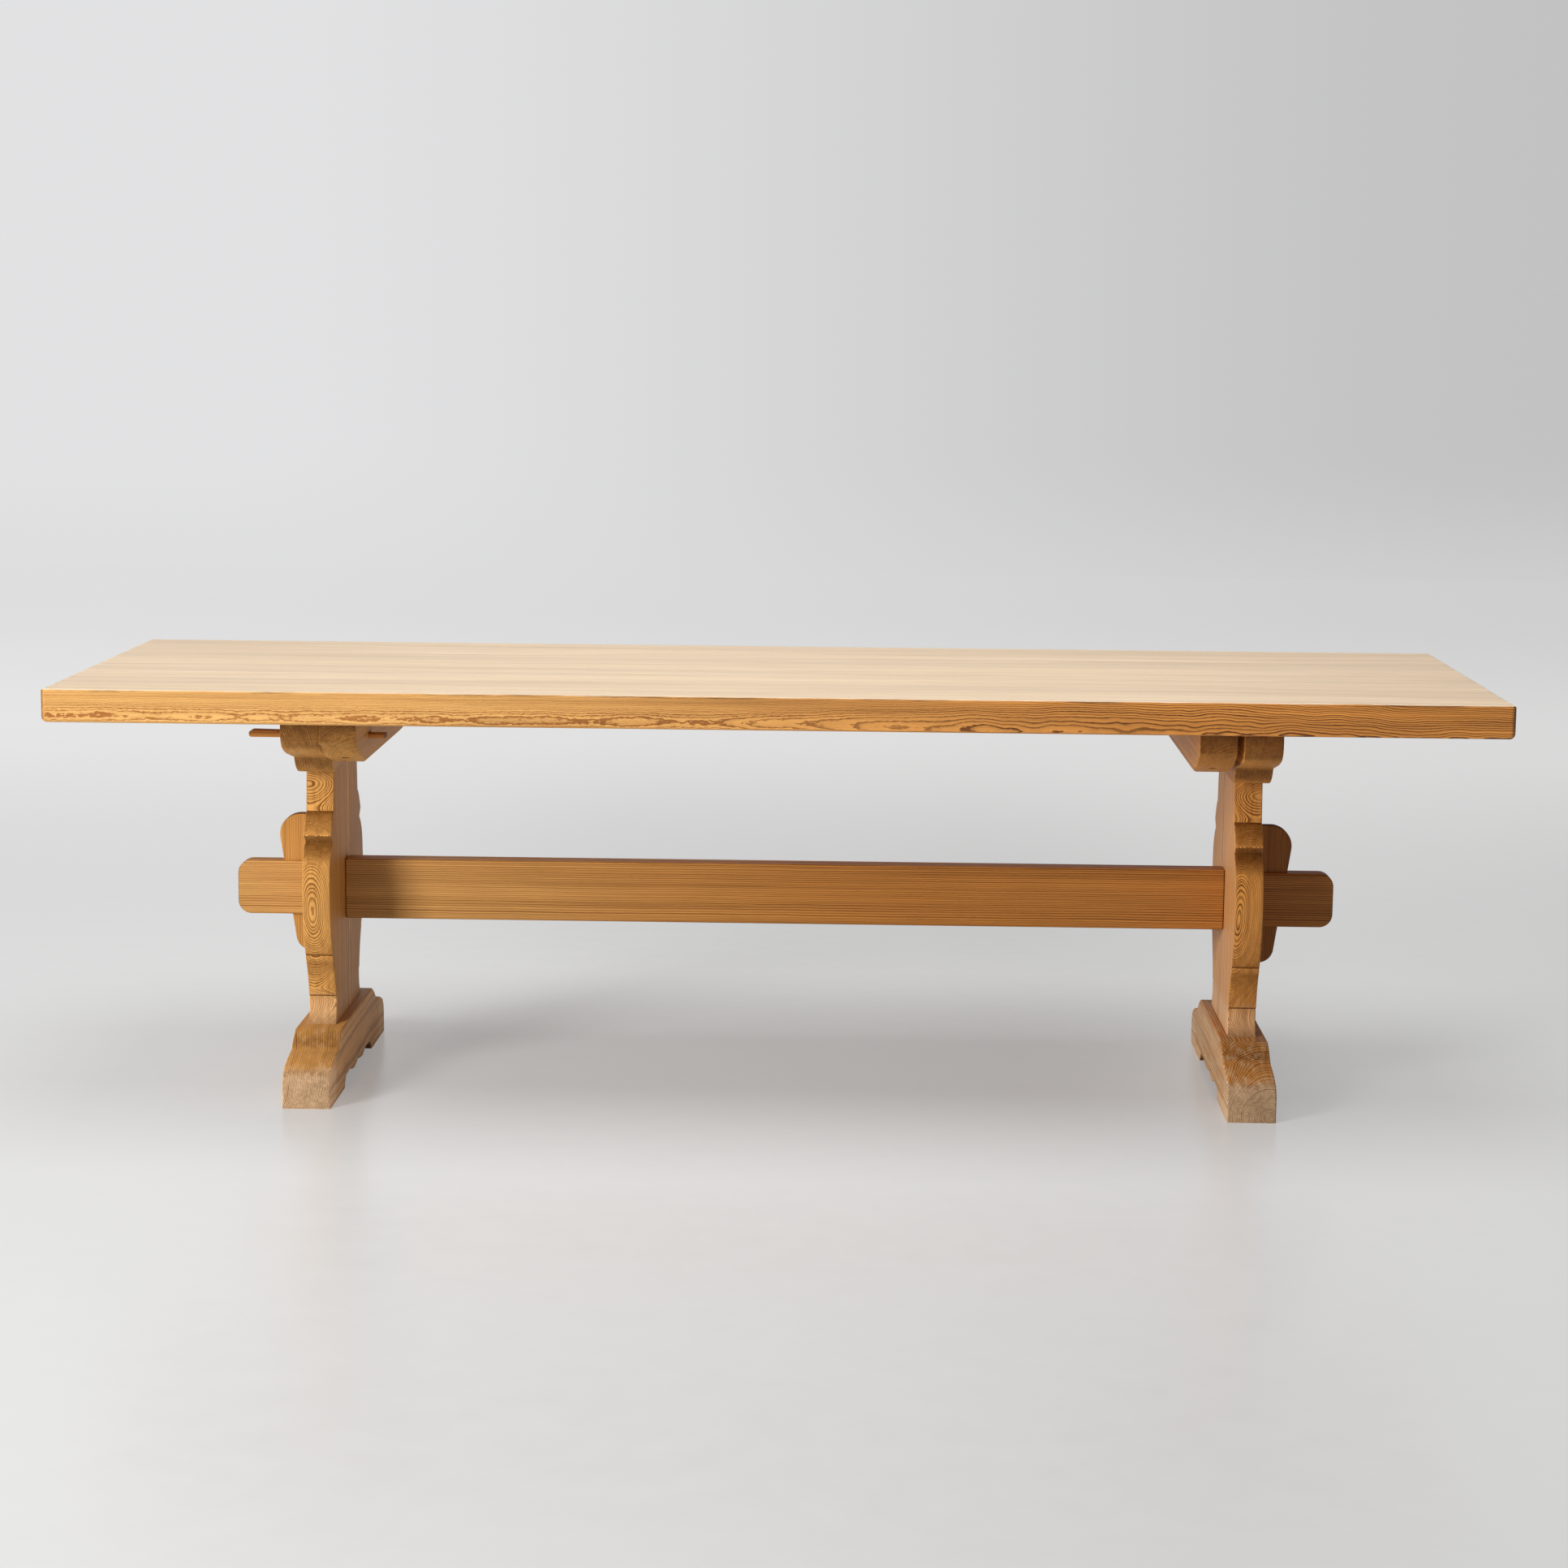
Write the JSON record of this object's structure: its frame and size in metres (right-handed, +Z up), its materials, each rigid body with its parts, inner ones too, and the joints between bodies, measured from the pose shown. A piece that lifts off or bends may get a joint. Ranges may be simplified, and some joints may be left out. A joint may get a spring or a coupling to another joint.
{
  "type": "trestle table",
  "caption": "Long knock-down trestle table in solid pine: a thick glued top on two scroll-sawn trestles, tied by a through-tenoned stretcher with loose wedge keys.",
  "frame": {"origin": "on the floor, under the middle of the top", "axes": "+X along the top, +Z up, -Y towards the front, where the peg of the left trestle shows"},
  "size_m": [2.4, 0.8, 0.72],
  "materials": {
    "top_wood": "satin lacquer",
    "upright_wood": "satin lacquer",
    "head_wood": "satin lacquer",
    "foot_wood": "satin lacquer, worn at the toes",
    "cleat_wood": "satin lacquer",
    "stretcher_wood": "satin lacquer",
    "key_wood": "satin lacquer",
    "peg_wood": "oiled",
    "screw_steel": "zinc plated"
  },
  "bodies": {
    "frame": {"stretcher": "stretcher_wood", "left_foot": "foot_wood", "left_head": "head_wood", "left_upright_front_board": "upright_wood", "left_upright_middle_board": "upright_wood", "left_upright_back_board": "upright_wood", "right_foot": "foot_wood", "right_head": "head_wood", "right_upright_front_board": "upright_wood", "right_upright_middle_board": "upright_wood", "right_upright_back_board": "upright_wood"},
    "top": {"top_board_1": "top_wood", "top_board_2": "top_wood", "top_board_3": "top_wood", "top_board_4": "top_wood", "top_board_5": "top_wood", "top_board_6": "top_wood", "top_board_7": "top_wood", "top_board_8": "top_wood", "left_cleat": "cleat_wood", "left_cleat_screws": "screw_steel", "right_cleat": "cleat_wood", "right_cleat_screws": "screw_steel"},
    "left_key": {"left_key": "key_wood"},
    "right_key": {"right_key": "key_wood"},
    "left_peg": {"left_peg": "peg_wood"},
    "right_peg": {"right_peg": "peg_wood"}
  },
  "joints": [
    {"name": "top_shift", "type": "slide", "parent": "frame", "child": "top", "axis": [1, 0, 0], "range_m": [0, 0.0112]},
    {"name": "left_key_lift", "type": "slide", "parent": "frame", "child": "left_key", "axis": [-0.146, 0, 0.9893], "range_m": [0, 0.167]},
    {"name": "right_key_lift", "type": "slide", "parent": "frame", "child": "right_key", "axis": [0.146, 0, 0.9893], "range_m": [0, 0.167]},
    {"name": "left_peg_pull", "type": "slide", "parent": "frame", "child": "left_peg", "axis": [-1, 0, 0], "range_m": [0, 0.157]},
    {"name": "right_peg_pull", "type": "slide", "parent": "frame", "child": "right_peg", "axis": [1, 0, 0], "range_m": [0, 0.157]}
  ]
}
